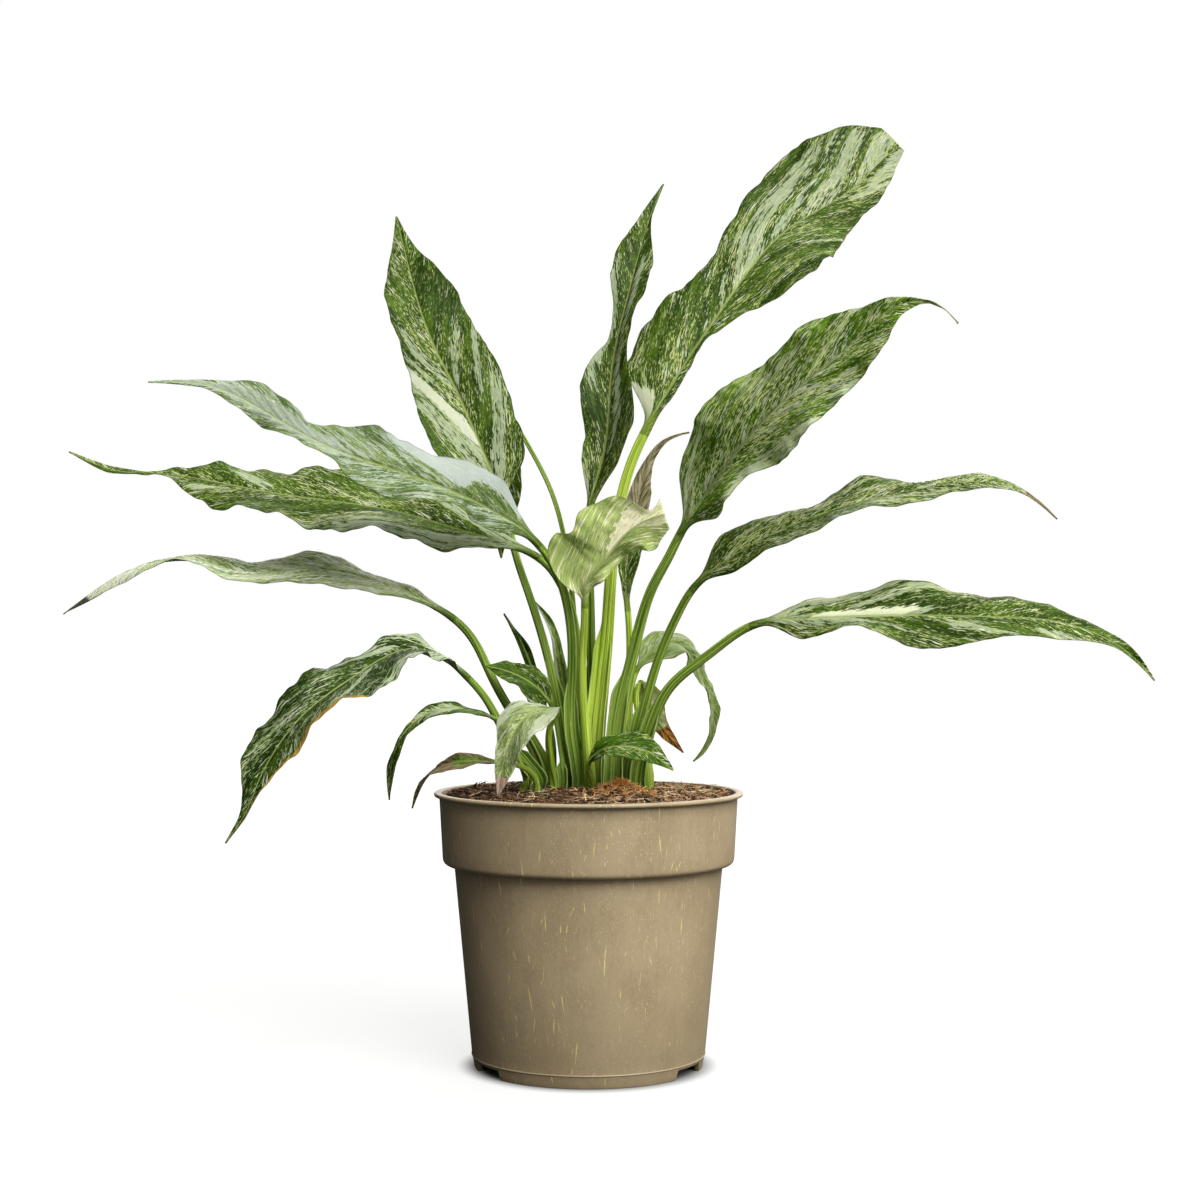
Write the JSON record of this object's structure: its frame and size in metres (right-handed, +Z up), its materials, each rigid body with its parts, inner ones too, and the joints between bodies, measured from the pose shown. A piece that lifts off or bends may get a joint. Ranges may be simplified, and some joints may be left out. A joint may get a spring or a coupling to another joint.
{
  "type": "potted variegated peace lily",
  "caption": "Leafy house plant with long waved variegated leaves on arching stalks, rooted in soil in a round tapered nursery pot.",
  "frame": {"origin": "centre of the pot's base, on the floor that it stands on", "axes": "+Z up, +X to the right along the plant's widest spread as seen from the front, +Y to the back"},
  "size_m": [0.6017, 0.2757, 0.5505],
  "materials": {
    "pot_plastic": "satin",
    "soil": "matte",
    "green_leaf": "satin",
    "pale_leaf": "satin",
    "dry_leaf": "matte"
  },
  "bodies": {
    "root": {"pot": "pot_plastic", "soil": "soil", "leaf_top_right": "green_leaf", "leaf_upright_narrow": "green_leaf", "leaf_top_left": "green_leaf", "leaf_behind_left": "green_leaf", "leaf_left_silver": "pale_leaf", "leaf_left_long": "green_leaf", "leaf_left_low": "green_leaf", "leaf_left_drooping": "green_leaf", "leaf_small_left": "green_leaf", "leaf_spike_left": "green_leaf", "leaf_low_left_curved": "green_leaf", "leaf_dried": "dry_leaf", "leaf_front_pale": "pale_leaf", "leaf_centre_pale": "pale_leaf", "leaf_right_large": "green_leaf", "leaf_right_long": "green_leaf", "leaf_right_low": "green_leaf", "leaf_right_arched": "green_leaf", "leaf_brown_tipped": "green_leaf", "leaf_low_right": "green_leaf", "leaf_withered": "dry_leaf", "leaf_thin_pale": "green_leaf"}
  },
  "joints": []
}
